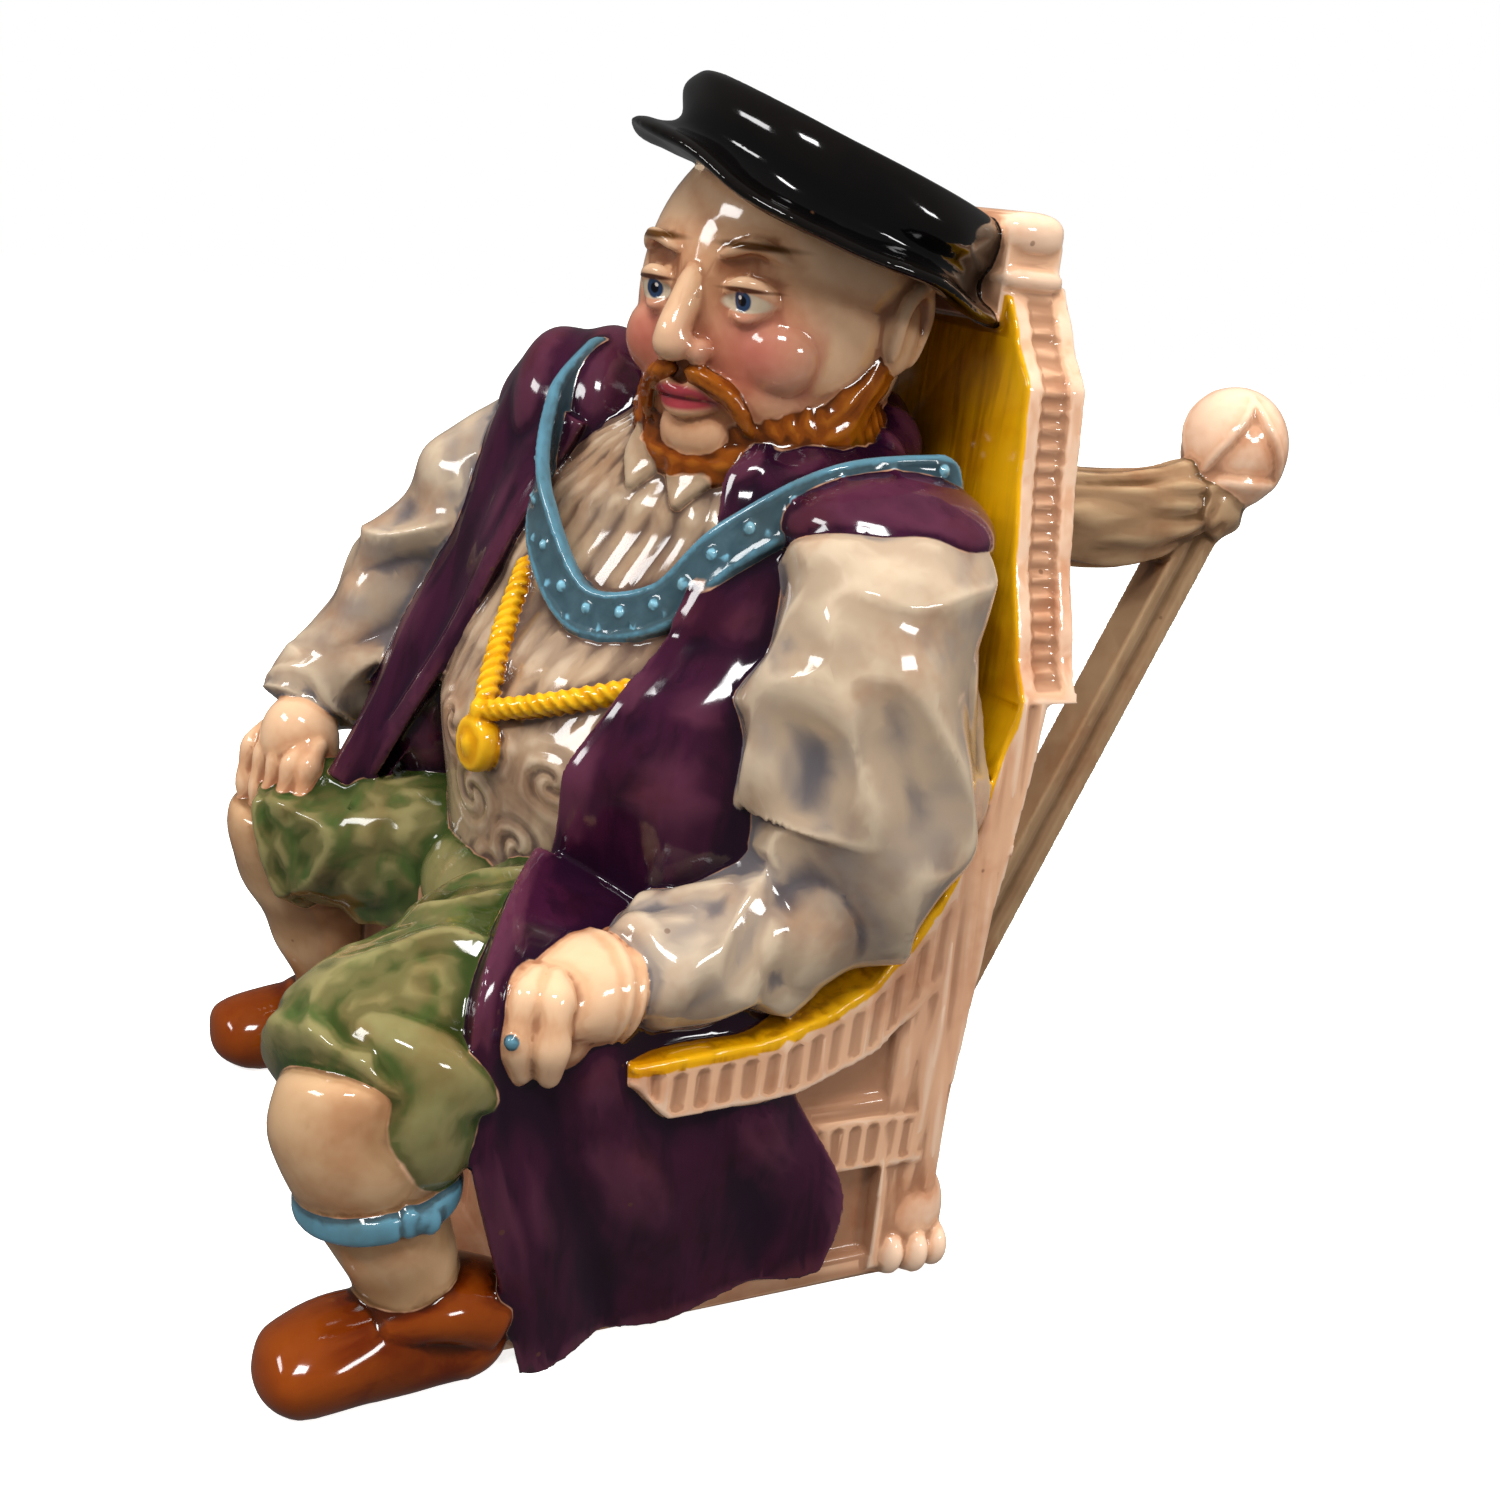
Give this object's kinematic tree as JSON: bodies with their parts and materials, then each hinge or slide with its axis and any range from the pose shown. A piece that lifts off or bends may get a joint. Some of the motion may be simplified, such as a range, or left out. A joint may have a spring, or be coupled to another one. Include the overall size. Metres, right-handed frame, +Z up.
{
  "type": "character jug",
  "caption": "Hollow glazed jug shaped as a stout seated figure in a flat cap on a high-backed chair; the mouth is in the hat and a braced handle with an acorn knob is behind.",
  "frame": {"origin": "centre of the whole jug's plan outline, at the underside it stands on", "axes": "+Z up; the chair and the figure's knees face -Y; the figure's left hand is on +X; the handle points to +Y"},
  "size_m": [0.1478, 0.2411, 0.2184],
  "materials": {
    "glazed_body": "hand-painted earthenware under a clear gloss glaze"
  },
  "bodies": {
    "root": {"jug": "glazed_body"}
  },
  "joints": []
}
